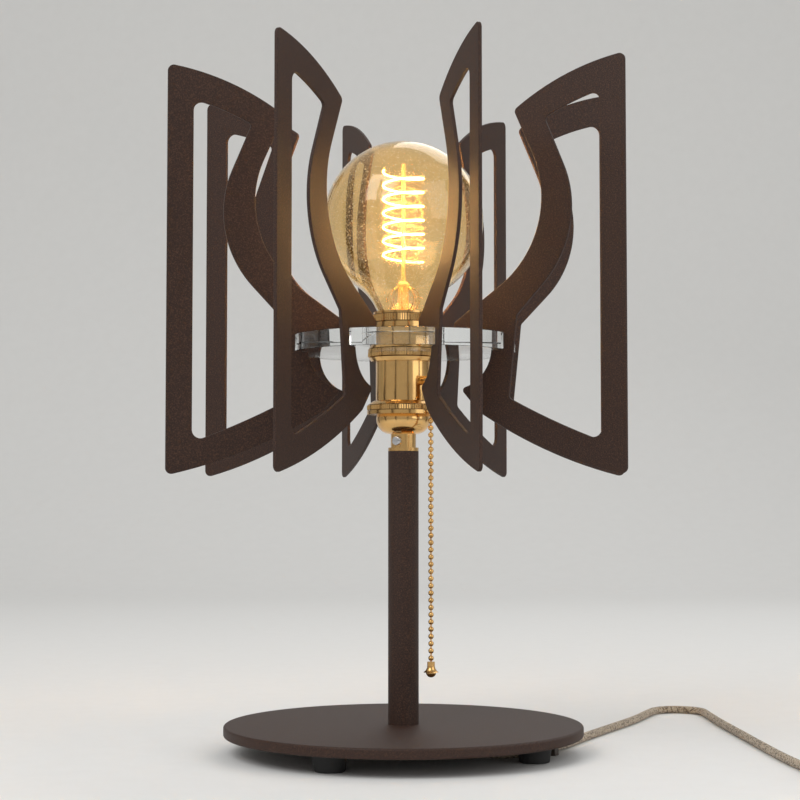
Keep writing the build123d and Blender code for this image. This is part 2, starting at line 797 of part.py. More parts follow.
# Outline of a fin: post, arched top, S-shaped inner edge, notch for the disc, nose and bellied lower edge
notch_top = disc_top + seat_gap
notch_bottom = disc_bottom - seat_gap
fin_foot = (fin_reach, disc_bottom - fin_drop)
fin_head = (fin_reach, disc_top + fin_rise)
fin_tip = above(tip_shares)
s_start = above(s_start_shares)
s_end = above(s_end_shares)
lobe_end = notch_end - lobe_length
lobe_crown = (lobe_end, notch_top + lobe_height)
lobe_chin = (lobe_end, notch_top)
jaw_lip = (notch_end - jaw_length, notch_bottom)
nose = (notch_end - nose_length, disc_bottom - nose_drop_share * fin_drop)
jaw_middle = (notch_end - jaw_middle_shares[0] * nose_length, disc_bottom - jaw_middle_shares[1] * fin_drop)
belly_start = (notch_end - belly_start_shares[0] * fin_span, disc_bottom - belly_start_shares[1] * fin_drop)
with BuildSketch() as fin_outline:
    with BuildLine():
        Line(fin_foot, fin_head)
        ThreePointArc(fin_head, above(top_middle_shares), fin_tip)
        s_lead = Line(fin_tip, s_start)
        TangentArc(s_start, s_end, tangent=s_lead % 1)
        Polyline(s_end, lobe_crown, lobe_chin, (notch_end, notch_top), (notch_end, notch_bottom), jaw_lip)
        ThreePointArc(jaw_lip, jaw_middle, nose)
        Line(nose, belly_start)
        ThreePointArc(belly_start, below(belly_middle_shares), fin_foot)
    make_face()
    fillet([corner_at(fin_outline, fin_foot), corner_at(fin_outline, fin_head)], fin_outer_corner)
    fillet(corner_at(fin_outline, fin_tip), fin_tip_corner)
    fillet([corner_at(fin_outline, lobe_crown), corner_at(fin_outline, lobe_chin)], fin_root_corner)
    fillet(corner_at(fin_outline, nose), fin_root_corner)

# Window of a fin, which leaves the post and bands of about one width
window_post = fin_reach - post_width
window_top = (window_post, above(window_top_shares)[1])
window_tip = above(window_tip_shares)
window_s_start = above(window_s_start_shares)
window_s_end = above(window_s_end_shares)
window_root = (notch_end + root_upper_width, disc_top + window_root_share * fin_rise)
window_low = (notch_end + root_lower_width, disc_bottom - window_low_share * fin_drop)
window_foot = (window_post, disc_bottom - window_post_share * fin_drop)
with BuildSketch() as fin_window:
    with BuildLine():
        Line(window_foot, window_top)
        ThreePointArc(window_top, above(window_top_middle_shares), window_tip)
        window_lead = Line(window_tip, window_s_start)
        TangentArc(window_s_start, window_s_end, tangent=window_lead % 1)
        Polyline(window_s_end, window_root, window_low)
        ThreePointArc(window_low, below(window_belly_middle_shares), window_foot)
    make_face()
    fillet([corner_at(fin_window, window_foot), corner_at(fin_window, window_top)], window_post_corner)
    fillet([corner_at(fin_window, window_tip), corner_at(fin_window, window_root),
            corner_at(fin_window, window_low)], window_inner_corner)

for index in range(fin_count):
    with BuildPart() as fin:
        with BuildSketch(radial_plane(index * 360 / fin_count)):
            add(fin_outline.sketch)
            add(fin_window.sketch, mode=Mode.SUBTRACT)
        extrude(amount=fin_thickness / 2, both=True)
    save(fin, f"fin_{index + 1}")

# Bulb glass: a globe drawn into a neck that ends in the screw cap
glass_root = contact_top + seat_gap + glass_root_height
glass_shoulder = glass_root + glass_root_length
neck_level = glass_shoulder + neck_rise
globe_height = neck_level + globe_rise
globe_turn = math.radians(globe_end_angle)


def glass_profile(inset):
    """The glass's profile, moved inwards by an inset."""
    radius = globe_radius - inset
    drawn_in = (radius * math.cos(globe_turn), globe_height - radius * math.sin(globe_turn))
    side = radius * math.sqrt(0.5)
    with BuildLine() as line:
        ThreePointArc((0, globe_height + radius), (side, globe_height + side), (radius, globe_height))
        lower = TangentArc((radius, globe_height), drawn_in, tangent=(0, -1))
        TangentArc(drawn_in, (neck_radius - inset, neck_level), tangent=lower % 1)
        Polyline((neck_radius - inset, neck_level), (glass_root_radius - inset, glass_shoulder),
                 (glass_root_radius - inset, glass_root), (0, glass_root), (0, globe_height + radius))
    return line


with BuildPart() as bulb_glass:
    with BuildSketch(Plane.XZ):
        add(glass_profile(0).line)
        make_face()
    revolve(axis=Axis.Z)
    with BuildSketch(Plane.XZ):
        add(glass_profile(glass_wall).line)
        make_face()
    revolve(axis=Axis.Z, mode=Mode.SUBTRACT)
save(bulb_glass, "bulb_glass")

# Screw cap of the bulb, its insulator and its tip contact
tip_bottom = contact_top + seat_gap
tip_top = tip_bottom + tip_contact_height
insulator_top = tip_top + insulator_height
cone_top = insulator_top + cap_cone_height
cap_lip_level = glass_shoulder - seat_gap
cap_inner = bulb_cap_radius - bulb_cap_wall
bulb_cap = revolve_profile([
    (insulator_radius - bulb_cap_wall, insulator_top), (insulator_radius, insulator_top),
    (bulb_cap_radius, cone_top), (bulb_cap_radius, cap_lip_level - bulb_cap_lip),
    (bulb_cap_radius - bulb_cap_wall / 2, cap_lip_level), (cap_inner, cap_lip_level),
    (cap_inner, cone_top),
])
save(bulb_cap, "bulb_cap")

bulb_insulator = revolve_profile([
    (0, tip_top), (tip_contact_radius, tip_top), (insulator_radius, insulator_top), (0, insulator_top),
])
save(bulb_insulator, "bulb_insulator")

with BuildPart() as bulb_contact:
    with Locations((0, 0, tip_bottom)):
        Cylinder(tip_contact_radius, tip_contact_height, align=(Align.CENTER, Align.CENTER, Align.MIN))
    fillet(bulb_contact.edges().group_by(Axis.Z)[0], tip_contact_height / 2)
save(bulb_contact, "bulb_contact")

# Glass stem with its flare, its bead and the post that carries the filament
flare_bottom = glass_root
flare_top_level = flare_bottom + stem_flare_height
filament_rise = globe_radius * filament_rise_share
filament_pitch = filament_rise / filament_turns
filament_start_height = globe_height - filament_rise * filament_sink_share
stem_top = filament_start_height - stem_gap
bead_level = stem_top + stem_bead_radius
post_top = filament_start_height + filament_rise + filament_pitch / 2
with BuildPart() as bulb_stem:
    with BuildSketch(Plane.XZ):
        with BuildLine():
            Line((0, flare_bottom), (stem_flare_radius, flare_bottom))
            TangentArc((stem_radius, flare_top_level), (stem_flare_radius, flare_bottom), tangent=(0, -1))
            Line((stem_radius, flare_top_level), (stem_radius, stem_top))
            ThreePointArc((stem_radius, stem_top), (stem_bead_radius, stem_top + stem_bead_radius / 2),
                          (post_rod_radius, bead_level))
            Polyline((post_rod_radius, bead_level), (post_rod_radius, post_top), (0, post_top),
                     (0, flare_bottom))
        make_face()
    revolve(axis=Axis.Z)
save(bulb_stem, "bulb_stem")

# Filament wound upwards round the post
filament_points = []
filament_tangents = []
for quarter in range(round(filament_turns * 4) + 1):
    turn = quarter * 90
    level = filament_start_height + filament_pitch * quarter / 4
    filament_points.append(polar(filament_radius, turn, level))
    heading = polar(filament_radius, turn + 90, filament_pitch / (2 * math.pi))
    filament_tangents.append(heading.normalized())
filament = tube_along(biarc_path(filament_points, filament_tangents), filament_wire_radius)
save(filament, "filament")

# Arms from the post to the filament, and a crown of short wires on the stem's head
arm_reach = filament_radius - filament_wire_radius - seat_gap
quarters_per_arm = 3
with BuildPart() as filament_supports:
    for index in range(support_count):
        quarter = index * quarters_per_arm
        level = filament_start_height + filament_pitch * quarter / 4
        with BuildSketch(Plane(origin=polar(post_rod_radius + seat_gap, quarter * 90, level),
                               z_dir=polar(1, quarter * 90, 0))):
            Circle(support_wire_radius)
        extrude(amount=arm_reach - post_rod_radius)
    for index in range(crown_count):
        angle = (index + 0.5) * 360 / crown_count
        foot = polar(stem_radius + support_wire_radius + seat_gap, angle, stem_top - crown_height)
        elbow = polar(crown_radius, angle, stem_top - crown_height / 2)
        head = polar(stem_radius + support_wire_radius + seat_gap, angle, stem_top)
        with BuildLine(mode=Mode.PRIVATE) as loop:
            ThreePointArc(foot, elbow, head)
        with BuildSketch(Plane(origin=loop.line @ 0, z_dir=loop.line % 0)):
            Circle(support_wire_radius)
        sweep(path=loop.wire())
save(filament_supports, "filament_supports")

# Supply wires: from the lead's end under the nut, up the pipe to the switch
wire_start = view_point(14, -3.5, 0)
wire_inwards = (wire_start * -1).normalized()
wire_sideways = Vector(0, 0, 1).cross(wire_inwards)
wire_level = floor_gap + cord_radius + seat_gap
with BuildPart() as supply_wires:
    for side in (-1, 1):
        shift = wire_sideways * (side * wire_spacing / 2)
        lift = Vector(0, 0, wire_level)
        route = [wire_start + shift + lift, shift + lift, shift + Vector(0, 0, shell_bottom - seat_gap)]
        with BuildLine(mode=Mode.PRIVATE) as wire_line:
            FilletPolyline(*route, radius=wire_bend_radius)
        with BuildSketch(Plane(origin=wire_line.wire() @ 0, z_dir=wire_line.wire() % 0)):
            Circle(wire_radius)
        sweep(path=wire_line.wire())
save(supply_wires, "supply_wires")

# Jacketed lead under the base, from the wires to the clip
lead_route = [
    view_point(14, -3.5, wire_level),
    view_point(36, -9, wire_level),
    view_point(52, -28, wire_level),
    view_point(70, -27.5, cord_clip_height),
    clip_start + Vector(0, 0, cord_clip_height),
    clip_end + Vector(0, 0, cord_clip_height),
]
lead_radii = rounded_radii(lead_route)
with BuildLine() as lead_line:
    FilletPolyline(*lead_route, radius=lead_radii)
base_lead = tube_along(lead_line.wire(), cord_radius)
save(base_lead, "base_lead")

# Clip that holds the lead under the base, with one screw in its tab
clip_mouth = clip_end + Vector(0, 0, cord_clip_height)
clip_plane = Plane(origin=clip_mouth, x_dir=clip_across, z_dir=clip_along * -1)
clip_head = base_bottom - cord_clip_height
clip_foot = floor_gap - cord_clip_height
with BuildPart() as cord_clip:
    with BuildSketch(clip_plane):
        with BuildLine():
            tab_edge = clip_width / 2 + clip_tab_length
            tab_level = clip_head - clip_tab_thickness
            up = -1 if clip_plane.y_dir.Z < 0 else 1
            Polyline((-clip_width / 2, up * clip_foot), (clip_width / 2, up * clip_foot),
                     (clip_width / 2, up * tab_level), (tab_edge, up * tab_level),
                     (tab_edge, up * clip_head), (-clip_width / 2, up * clip_head), close=True)
        make_face()
        Circle(cord_radius + seat_gap, mode=Mode.SUBTRACT)
    extrude(amount=clip_length)
    with BuildSketch(Plane.XY.offset(base_bottom)):
        with Locations((clip_screw_place.X, clip_screw_place.Y)):
            Circle(clip_screw_radius + seat_gap)
    extrude(amount=-clip_tab_thickness, mode=Mode.SUBTRACT)
save(cord_clip, "cord_clip")

with BuildPart() as clip_screw:
    with Locations((clip_screw_place.X, clip_screw_place.Y, base_bottom - clip_tab_thickness)):
        Cylinder(clip_screw_head_radius, clip_screw_head_height,
                 align=(Align.CENTER, Align.CENTER, Align.MAX))
        Cylinder(clip_screw_radius, clip_tab_thickness + foot_screw_grip,
                 align=(Align.CENTER, Align.CENTER, Align.MIN))
    clip_head_bottom = base_bottom - clip_tab_thickness - clip_screw_head_height
    with Locations((clip_screw_place.X, clip_screw_place.Y, clip_head_bottom)):
        cut_cross(clip_screw_head_radius, clip_screw_head_height)
save(clip_screw, "clip_screw")

# Free cord on the table, from the clip round a wide bend to the coil
cord_level = floor_gap + cord_radius
coil_level = floor_gap + tie_thickness + tie_gap + cord_radius
cord_route = [
    clip_end + clip_along * seat_gap + Vector(0, 0, cord_clip_height),
    clip_end + clip_along * cord_first_run + Vector(0, 0, cord_clip_height),
    view_point(104, 22, cord_level + seat_gap),
    view_point(116, 45, cord_level),
    view_point(128, 75, cord_level),
    view_point(141, 106, cord_level),
    view_point(153, 135, cord_level),
    view_point(164, 163.5, cord_level),
    view_point(173.5, 185, cord_level),
    view_point(184, 191, cord_level),
    view_point(196, 189, cord_level),
    view_point(204, 180, cord_level),
    view_point(205.2, 157, cord_level),
    view_point(206, 115, cord_level),
    view_point(209, 60, cord_level),
    view_point(211.5, 5, cord_level),
    view_point(214.5, -45, cord_level),
    view_point(218, -76, cord_level + seat_gap),
    view_point(220, -96, coil_level),
    view_point(220.5, -108, coil_level),
]
cord_radii = rounded_radii(cord_route)
print("cord radii", [round(radius, 1) for radius in cord_radii])
with BuildLine() as cord_line:
    FilletPolyline(*cord_route, radius=cord_radii)
free_cord = tube_along(cord_line.wire(), cord_radius)
save(free_cord, "free_cord")

# Coil of the rest of the cord: in on the lower layer, up a layer, out again, then straight to the plug
coil_start = cord_route[-1]
coil_centre = view_point(coil_outer_radius, 0, 0) + Vector(coil_start.X, coil_start.Y, 0)
coil_left = view_point(-1, 0, 0)
coil_heading = view_point(0, -1, 0)
coil_points = []
coil_tangents = []
for half_turn in range(coil_half_turns * 2 + 2):
    steps_in = min(half_turn, coil_half_turns * 2 + 1 - half_turn)
    side = 1 if half_turn % 2 == 0 else -1
    level = coil_level if half_turn <= coil_half_turns else coil_level + coil_layer_pitch
    turn_radius = coil_outer_radius - steps_in * coil_turn_pitch / 2
    coil_points.append(coil_centre + coil_left * (side * turn_radius) + Vector(0, 0, level))
    coil_tangents.append(coil_heading * side)
coil_turns = biarc_path(coil_points, coil_tangents)
plug_heading = coil_tangents[-1]
plug_start = coil_points[-1] + plug_heading * coil_tail_length
with BuildLine() as coil_line:
    add(coil_turns)
    Line(coil_points[-1], plug_start)
cord_coil = tube_along(coil_line.wire(), cord_radius)
save(cord_coil, "cord_coil")

# Least gap of the coil to itself, measured on points a few millimetres apart
coil_wire = coil_line.wire()
sample_step = cord_radius
sample_count = round(coil_wire.length / sample_step)
samples = [tuple(coil_wire.position_at(index / sample_count)) for index in range(sample_count + 1)]
skip = round(math.pi * cord_radius * 4 / sample_step)
least = min(math.dist(samples[first], samples[second])
            for first in range(len(samples)) for second in range(first + skip, len(samples)))
cord_length = cord_line.wire().length + coil_wire.length
print("coil gap", round(least - cord_radius * 2, 2), "cord length", round(cord_length))

# Tie round the coil's turns
tie_turn = view_turn + tie_angle
coil_inner = coil_outer_radius - coil_half_turns * coil_turn_pitch / 2 - cord_radius
tie_width_inside = coil_outer_radius + cord_radius - coil_inner + tie_gap * 2
tie_height_inside = coil_layer_pitch + cord_radius * 2 + tie_gap * 2
tie_middle = coil_centre + polar((coil_outer_radius + cord_radius + coil_inner) / 2, tie_turn,
                                 coil_level + coil_layer_pitch / 2)
tie_plane = Plane(origin=tie_middle, x_dir=polar(1, tie_turn, 0), z_dir=polar(1, tie_turn - 90, 0))
with BuildPart() as coil_tie:
    with BuildSketch(tie_plane):
        RectangleRounded(tie_width_inside + tie_thickness * 2, tie_height_inside + tie_thickness * 2,
                         cord_radius + tie_thickness)
        RectangleRounded(tie_width_inside, tie_height_inside, cord_radius, mode=Mode.SUBTRACT)
    extrude(amount=tie_width / 2, both=True)
save(coil_tie, "coil_tie")

# Plug on the cord's end: strain relief, body and two flat blades
plug_height = (plug_start.Z - floor_gap) * 2
plug_plane = Plane(origin=plug_start, x_dir=Vector(0, 0, 1).cross(plug_heading) * -1, z_dir=plug_heading)
with BuildPart() as plug_body:
    with BuildSketch(plug_plane):
        Circle(relief_tip_radius)
    with BuildSketch(plug_plane.offset(relief_length)):
        Circle(relief_root_radius)
    loft()
    with BuildSketch(plug_plane.offset(relief_length)):
        RectangleRounded(plug_rear_width, plug_rear_height, plug_edge_radius)
    with BuildSketch(plug_plane.offset(relief_length + plug_length)):
        RectangleRounded(plug_width, plug_height, plug_edge_radius)
    loft()
save(plug_body, "plug_body")

with BuildPart() as plug_blades:
    with BuildSketch(plug_plane.offset(relief_length + plug_length)):
        with GridLocations(blade_spacing, 0, 2, 1):
            Rectangle(blade_thickness, blade_width)
    extrude(amount=blade_length)
save(plug_blades, "plug_blades")
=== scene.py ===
"""Looks of the fin lamp: materials, eased edges, knurls, threads, braided cord, plug and a plain stage."""

import json
import math

import bmesh
import bpy
from mathutils import Matrix, Vector


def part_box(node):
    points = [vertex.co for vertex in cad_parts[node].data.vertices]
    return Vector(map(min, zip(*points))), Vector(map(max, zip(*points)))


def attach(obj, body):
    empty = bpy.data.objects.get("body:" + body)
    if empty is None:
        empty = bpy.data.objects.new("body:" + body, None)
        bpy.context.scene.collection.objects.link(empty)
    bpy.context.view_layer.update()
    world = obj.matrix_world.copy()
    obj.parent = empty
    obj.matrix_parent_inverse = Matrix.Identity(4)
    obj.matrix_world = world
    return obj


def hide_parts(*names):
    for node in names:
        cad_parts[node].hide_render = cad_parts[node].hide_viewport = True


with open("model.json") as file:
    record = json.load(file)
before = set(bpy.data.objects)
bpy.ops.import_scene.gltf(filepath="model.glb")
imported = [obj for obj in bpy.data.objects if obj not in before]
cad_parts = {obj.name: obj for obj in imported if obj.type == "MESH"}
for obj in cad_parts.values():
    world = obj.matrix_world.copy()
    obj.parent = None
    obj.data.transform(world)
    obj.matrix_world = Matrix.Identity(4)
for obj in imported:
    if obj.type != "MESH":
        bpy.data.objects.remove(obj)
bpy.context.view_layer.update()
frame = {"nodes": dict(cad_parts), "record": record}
nodes = frame["nodes"]
scene = bpy.context.scene
MM = 0.001
SAME_POINT = 0.002 * MM

# Camera at the photograph's angle: its place in millimetres, its lens and aim in pixels of the frame
VIEW_TURN = math.radians(-16.5)
CAMERA_DISTANCE = 1059
CAMERA_HEIGHT = 149
FRAME_PIXELS = 800
FOCAL_PIXELS = 1795
RAISED_PIXELS = 97
TURNED_PIXELS = 3.4
SENSOR = 36
FAR_LIMIT = 50000


def view_point(x, y, z):
    """A point in millimetres, square to the front view, as a point of the row frame in metres."""
    return Matrix.Rotation(VIEW_TURN, 3, "Z") @ Vector((x, y, z)) * MM


def add_camera():
    """The camera, level with the lower half of the lamp and tilted up a little."""
    data = bpy.data.cameras.new("camera")
    data.sensor_width = SENSOR
    data.lens = SENSOR * (FOCAL_PIXELS / FRAME_PIXELS)
    data.clip_end = FAR_LIMIT * MM
    camera = bpy.data.objects.new("camera", data)
    scene.collection.objects.link(camera)
    camera.location = view_point(0, -CAMERA_DISTANCE, CAMERA_HEIGHT)
    pitch = math.atan(RAISED_PIXELS / FOCAL_PIXELS)
    yaw = math.atan(TURNED_PIXELS / FOCAL_PIXELS)
    turn = Matrix.Rotation(VIEW_TURN + yaw, 4, "Z") @ Matrix.Rotation(math.pi / 2 + pitch, 4, "X")
    camera.rotation_euler = turn.to_euler()
    scene.camera = camera


add_camera()

# Materials


class Shader:
    """A new material with a Principled shader, and short calls to add nodes to it."""

    def __init__(self, name):
        self.material = bpy.data.materials.new(name)
        self.material.use_nodes = True
        self.tree = self.material.node_tree
        self.surface = self.tree.nodes["Principled BSDF"]

    def add(self, kind, **settings):
        node = self.tree.nodes.new(kind)
        for key, value in settings.items():
            setattr(node, key, value)
        return node

    def link(self, source, target):
        self.tree.links.new(source, target)

    def set(self, **values):
        for key, value in values.items():
            self.surface.inputs[key.replace("_", " ")].default_value = value

    def place(self, output="Object"):
        return self.add("ShaderNodeTexCoord").outputs[output]

    def noise(self, place, scale, detail=2):
        node = self.add("ShaderNodeTexNoise")
        node.inputs["Scale"].default_value = scale
        node.inputs["Detail"].default_value = detail
        self.link(place, node.inputs["Vector"])
        return node.outputs["Fac"]

    def stretch(self, place, scale):
        node = self.add("ShaderNodeMapping")
        node.inputs["Scale"].default_value = scale
        self.link(place, node.inputs["Vector"])
        return node.outputs["Vector"]

    def ramp(self, value, stops):
        node = self.add("ShaderNodeValToRGB")
        ramp = node.color_ramp
        for position, _ in stops[2:]:
            ramp.elements.new(position)
        for element, (position, colour) in zip(ramp.elements, stops):
            element.position = position
            element.color = (*colour, 1)
        self.link(value, node.inputs["Fac"])
        return node.outputs["Color"]

    def spread(self, value, low, high, start=0.0, end=1.0):
        node = self.add("ShaderNodeMapRange")
        self.link(value, node.inputs["Value"])
        node.inputs["From Min"].default_value = start
        node.inputs["From Max"].default_value = end
        node.inputs["To Min"].default_value = low
        node.inputs["To Max"].default_value = high
        return node.outputs["Result"]

    def math(self, operation, first, second=None):
        node = self.add("ShaderNodeMath", operation=operation)
        for socket, value in zip(node.inputs, (first, second)):
            if isinstance(value, (int, float)):
                socket.default_value = value
            elif value is not None:
                self.link(value, socket)
        return node.outputs["Value"]

    def blend(self, share, first, second):
        node = self.add("ShaderNodeMix", data_type="RGBA")
        self.link(share, node.inputs["Factor"])
        colours = [socket for socket in node.inputs if socket.type == "RGBA"]
        for socket, value in zip(colours, (first, second)):
            if isinstance(value, tuple):
                socket.default_value = (*value, 1)
            else:
                self.link(value, socket)
        return next(socket for socket in node.outputs if socket.type == "RGBA")

    def bump(self, height, strength, distance):
        node = self.add("ShaderNodeBump")
        node.inputs["Strength"].default_value = strength
        node.inputs["Distance"].default_value = distance
        self.link(height, node.inputs["Height"])
        self.link(node.outputs["Normal"], self.surface.inputs["Normal"])

    def colour(self, output):
        self.link(output, self.surface.inputs["Base Color"])

    def roughness(self, output):
        self.link(output, self.surface.inputs["Roughness"])


def brown_coat():
    """Dark brown coat with a fine sand texture."""
    s = Shader("brown_coat")
    place = s.place()
    sand = s.noise(place, scale=1500, detail=3)
    cloud = s.noise(place, scale=28, detail=3)
    s.set(Specular_IOR_Level=0.35)
    grain = s.ramp(sand, [
        (0.3, (0.014, 0.006, 0.004)),
        (0.5, (0.034, 0.014, 0.008)),
        (0.72, (0.085, 0.039, 0.022)),
    ])
    s.colour(s.blend(s.spread(cloud, low=0.0, high=0.35), grain, (0.024, 0.01, 0.006)))
    s.roughness(s.spread(sand, low=0.46, high=0.7))
    s.bump(sand, strength=0.4, distance=0.4 * MM)
    return s.material


def brass(name, shine, tarnish, crevices=False):
    """Polished brass with faint handling marks and tarnish, darker in the crevices of a fine mesh: partly
    tarnish, partly painted shade.
    """
    s = Shader(name)
    s.set(Metallic=1.0)
    place = s.place()
    cloud = s.noise(place, scale=60, detail=4)
    marks = s.noise(s.stretch(place, (900, 900, 60)), scale=1, detail=3)
    clean = s.blend(s.spread(marks, low=0.0, high=0.3), (0.74, 0.46, 0.18), (0.58, 0.34, 0.12))
    dull = s.spread(cloud, low=0.0, high=tarnish, start=0.45, end=0.75)
    tarnish_and_groove_shade = s.blend(dull, clean, (0.34, 0.18, 0.06))
    if crevices:
        # The crevices' dark colour is partly tarnish and partly painted shade of the grooves; the crests
        # keep the plain brass colour
        crest = s.add("ShaderNodeNewGeometry").outputs["Pointiness"]
        open_face = s.spread(crest, low=0.0, high=1.0, start=0.42, end=0.52)
        tarnish_and_groove_shade = s.blend(open_face, (0.16, 0.08, 0.03), tarnish_and_groove_shade)
    s.colour(tarnish_and_groove_shade)
    s.roughness(s.spread(cloud, low=shine, high=shine + 0.12))
    s.bump(marks, strength=0.03, distance=0.1 * MM)
    return s.material


def steel(name, colour, shine):
    """Plain bright metal with a drawn finish."""
    s = Shader(name)
    s.set(Metallic=1.0)
    drawn = s.noise(s.stretch(s.place(), (1200, 1200, 120)), scale=1)
    dark = tuple(channel * 0.7 for channel in colour)
    s.colour(s.blend(drawn, dark, colour))
    s.roughness(s.spread(drawn, low=shine, high=shine + 0.18))
    s.bump(drawn, strength=0.06, distance=0.1 * MM)
    return s.material


def moulded(name, dark, light, rough, scale=900, strength=0.12):
    """Moulded plastic, rubber or board with a fine grain."""
    s = Shader(name)
    place = s.place()
    grain = s.noise(place, scale)
    cloud = s.noise(place, scale=45, detail=3)
    s.colour(s.blend(cloud, dark, light))
    s.roughness(s.spread(grain, low=rough - 0.08, high=rough + 0.08))
    s.bump(grain, strength, distance=0.2 * MM)
    return s.material


def clear_plastic():
    """Clear acrylic with polished faces."""
    s = Shader("clear_acrylic")
    s.set(Transmission_Weight=1.0, IOR=1.49)
    haze = s.noise(s.place(), scale=40, detail=4)
    s.colour(s.blend(haze, (0.93, 0.96, 0.95), (0.97, 0.98, 0.98)))
    s.roughness(s.spread(haze, low=0.0, high=0.05, start=0.45, end=0.8))
    return s.material


def amber_glass():
    """Thin amber bulb glass with fine specks that catch the light."""
    s = Shader("amber_glass")
    s.set(Transmission_Weight=1.0, IOR=1.45)
    place = s.place()
    cloud = s.noise(place, scale=25, detail=3)
    specks = s.noise(place, scale=1100)
    waves = s.noise(place, scale=120)
    s.colour(s.blend(cloud, (0.97, 0.78, 0.47), (0.98, 0.83, 0.56)))
    s.roughness(s.spread(specks, low=0.0, high=0.4, start=0.58, end=0.72))
    s.bump(waves, strength=0.02, distance=0.5 * MM)
    return s.material


def stem_glass():
    """Warm glass of the bulb's stem, a little milky, with drawn streaks."""
    s = Shader("stem_glass")
    s.set(Transmission_Weight=0.6, IOR=1.5)
    streaks = s.noise(s.stretch(s.place(), (900, 900, 60)), scale=1)
    s.colour(s.blend(streaks, (0.93, 0.74, 0.42), (0.98, 0.86, 0.62)))
    s.roughness(s.spread(streaks, low=0.05, high=0.25))
    return s.material


def glowing_wire():
    """The lit filament, unevenly hot along its wire."""
    s = Shader("glowing_filament")
    s.set(Emission_Strength=200.0)
    heat = s.noise(s.place(), scale=90)
    glow = s.blend(heat, (1.0, 0.50, 0.14), (1.0, 0.66, 0.28))
    s.colour(glow)
    s.link(glow, s.surface.inputs["Emission Color"])
    return s.material


BRAID_CARRIERS = 14
BRAID_RATE = 600


def braided_jacket():
    """Beige braid with dark yarns in it, laid out on the tube's own coordinates."""
    s = Shader("braided_jacket")
    s.set(Sheen_Weight=0.25, Roughness=0.85)
    split = s.add("ShaderNodeSeparateXYZ")
    s.link(s.place("UV"), split.inputs["Vector"])
    around = s.math("MULTIPLY", split.outputs["X"], BRAID_CARRIERS)
    along = s.math("MULTIPLY", split.outputs["Y"], BRAID_RATE)
    left = s.math("ADD", around, along)
    right = s.math("SUBTRACT", around, along)
    weave = s.math("MULTIPLY", s.math("PINGPONG", left, 0.5), s.math("PINGPONG", right, 0.5))
    left_cell = s.math("FLOOR", left)
    right_cell = s.math("FLOOR", right)
    cell = s.add("ShaderNodeCombineXYZ")
    s.link(s.math("FLOORED_MODULO", left_cell, BRAID_CARRIERS), cell.inputs["X"])
    s.link(s.math("SUBTRACT", left_cell, right_cell), cell.inputs["Y"])
    pick = s.add("ShaderNodeTexWhiteNoise", noise_dimensions="2D")
    s.link(cell.outputs["Vector"], pick.inputs["Vector"])
    yarn = s.ramp(pick.outputs["Value"], [
        (0.22, (0.12, 0.08, 0.045)),
        (0.34, (0.50, 0.38, 0.25)),
        (0.8, (0.72, 0.60, 0.44)),
    ])
    raised = s.spread(weave, low=0.3, high=1.0, start=0.0, end=0.12)
    s.colour(s.blend(raised, (0.13, 0.09, 0.06), yarn))
    s.bump(weave, strength=0.8, distance=1.2 * MM)
    return s.material


coat = brown_coat()
polished_brass = brass("polished_brass", shine=0.1, tarnish=0.5)
knurled_brass = brass("knurled_brass", shine=0.12, tarnish=0.5, crevices=True)
chain_brass = brass("chain_brass", shine=0.2, tarnish=0.6)
bright_steel = steel("bright_steel", (0.62, 0.62, 0.63), shine=0.25)
support_steel = steel("support_wire", (0.82, 0.62, 0.38), shine=0.18)
foot_rubber = moulded("foot_rubber", (0.012, 0.012, 0.012), (0.03, 0.03, 0.03), rough=0.75)
liner_board = moulded("liner_board", (0.55, 0.48, 0.36), (0.68, 0.62, 0.5), rough=0.8, scale=600,
                      strength=0.3)
switch_plastic = moulded("switch_plastic", (0.015, 0.013, 0.012), (0.035, 0.03, 0.028), rough=0.4)
plug_plastic = moulded("plug_plastic", (0.035, 0.024, 0.018), (0.06, 0.042, 0.032), rough=0.42)
wire_plastic = moulded("wire_insulation", (0.6, 0.58, 0.52), (0.75, 0.73, 0.68), rough=0.45)
acrylic = clear_plastic()
glass = amber_glass()
clear_glass = stem_glass()
filament_glow = glowing_wire()
jacket = braided_jacket()

SLOT_MATERIALS = {
    "brown_paint": coat,
    "rubber": foot_rubber,
    "steel": bright_steel,
    "brass": polished_brass,
    "liner_board": liner_board,
    "switch_plastic": switch_plastic,
    "clear_plastic": acrylic,
    "bulb_glass": glass,
    "stem_glass": clear_glass,
    "filament": filament_glow,
    "support_wire": support_steel,
    "wire_insulation": wire_plastic,
    "cord_jacket": jacket,
    "plug_plastic": plug_plastic,
}
node_slots = {entry["node"]: entry["material_slot"] for entry in frame["record"]["subparts"]}
for name, node in nodes.items():
    node.data.materials.clear()
    node.data.materials.append(SLOT_MATERIALS[node_slots[name]])
for name in ("chain_lead", "pull_chain", "chain_end"):
    nodes[name].data.materials[0] = chain_brass


SMOOTH_ANGLE = math.radians(35)


def add_mesh(name, points, faces, body, material, smooth_angle=SMOOTH_ANGLE):
    """A new piece from points in metres and faces, shaded smooth up to an angle."""
    mesh = bpy.data.meshes.new(name)
    mesh.from_pydata(points, [], faces)
    weld = bmesh.new()
    weld.from_mesh(mesh)
    bmesh.ops.remove_doubles(weld, verts=weld.verts, dist=SAME_POINT)
    weld.to_mesh(mesh)
    weld.free()
    mesh.validate()
    mesh.update()
    mesh.materials.append(material)
    piece = bpy.data.objects.new(name, mesh)
    scene.collection.objects.link(piece)
    mesh.shade_smooth()
    mesh.set_sharp_from_angle(angle=smooth_angle)
    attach(piece, body)
    return piece


